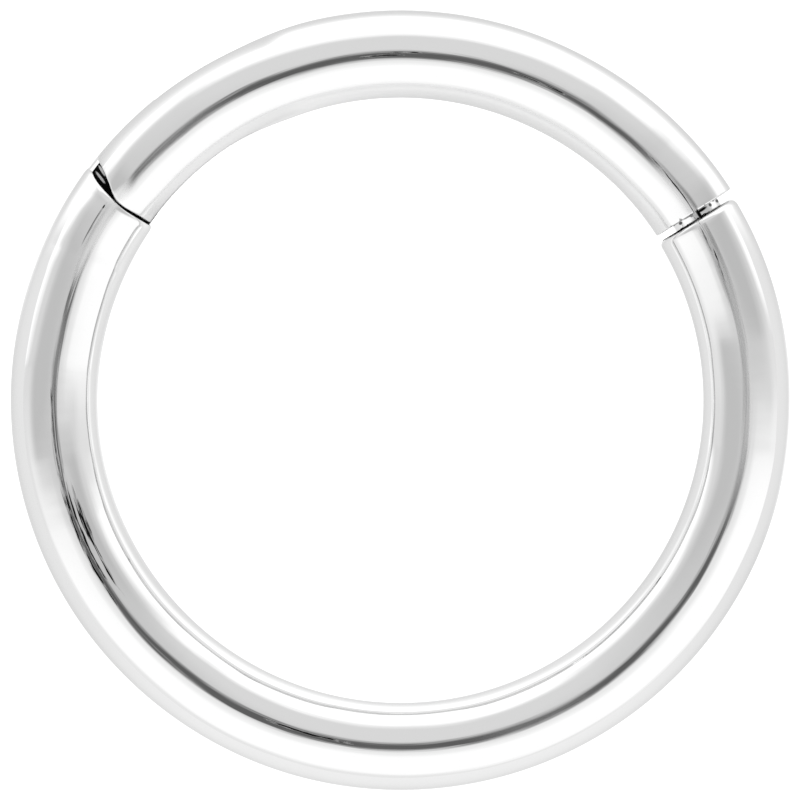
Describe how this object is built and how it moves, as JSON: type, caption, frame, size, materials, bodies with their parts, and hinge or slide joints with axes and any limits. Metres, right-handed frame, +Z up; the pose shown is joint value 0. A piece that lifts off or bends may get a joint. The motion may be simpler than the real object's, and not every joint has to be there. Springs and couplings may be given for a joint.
{
  "type": "hinged segment ring",
  "caption": "Polished steel body jewellery ring of round wire; an arc of it swings out on a flush hinge pin and closes with a peg in a socket.",
  "frame": {"origin": "on the ring's own axis, on the surface that the ring lies flat on", "axes": "+Z up along the ring's own axis; +Y towards the middle of the hinged segment's side; hinge at 143.5 degrees and closure at 32 degrees, anticlockwise from +X"},
  "size_m": [0.0142, 0.0142, 0.0016],
  "materials": {
    "polished_steel": "mirror polished surgical steel"
  },
  "bodies": {
    "ring": {"ring_body": "polished_steel"},
    "segment": {"hinged_segment": "polished_steel", "hinge_pin": "polished_steel"}
  },
  "joints": [
    {"name": "segment_hinge", "type": "hinge", "parent": "ring", "child": "segment", "pos_m": [-0.00442, 0.00437, 0.0008], "axis": [0, 0, 1], "range_deg": [0, 100]}
  ]
}
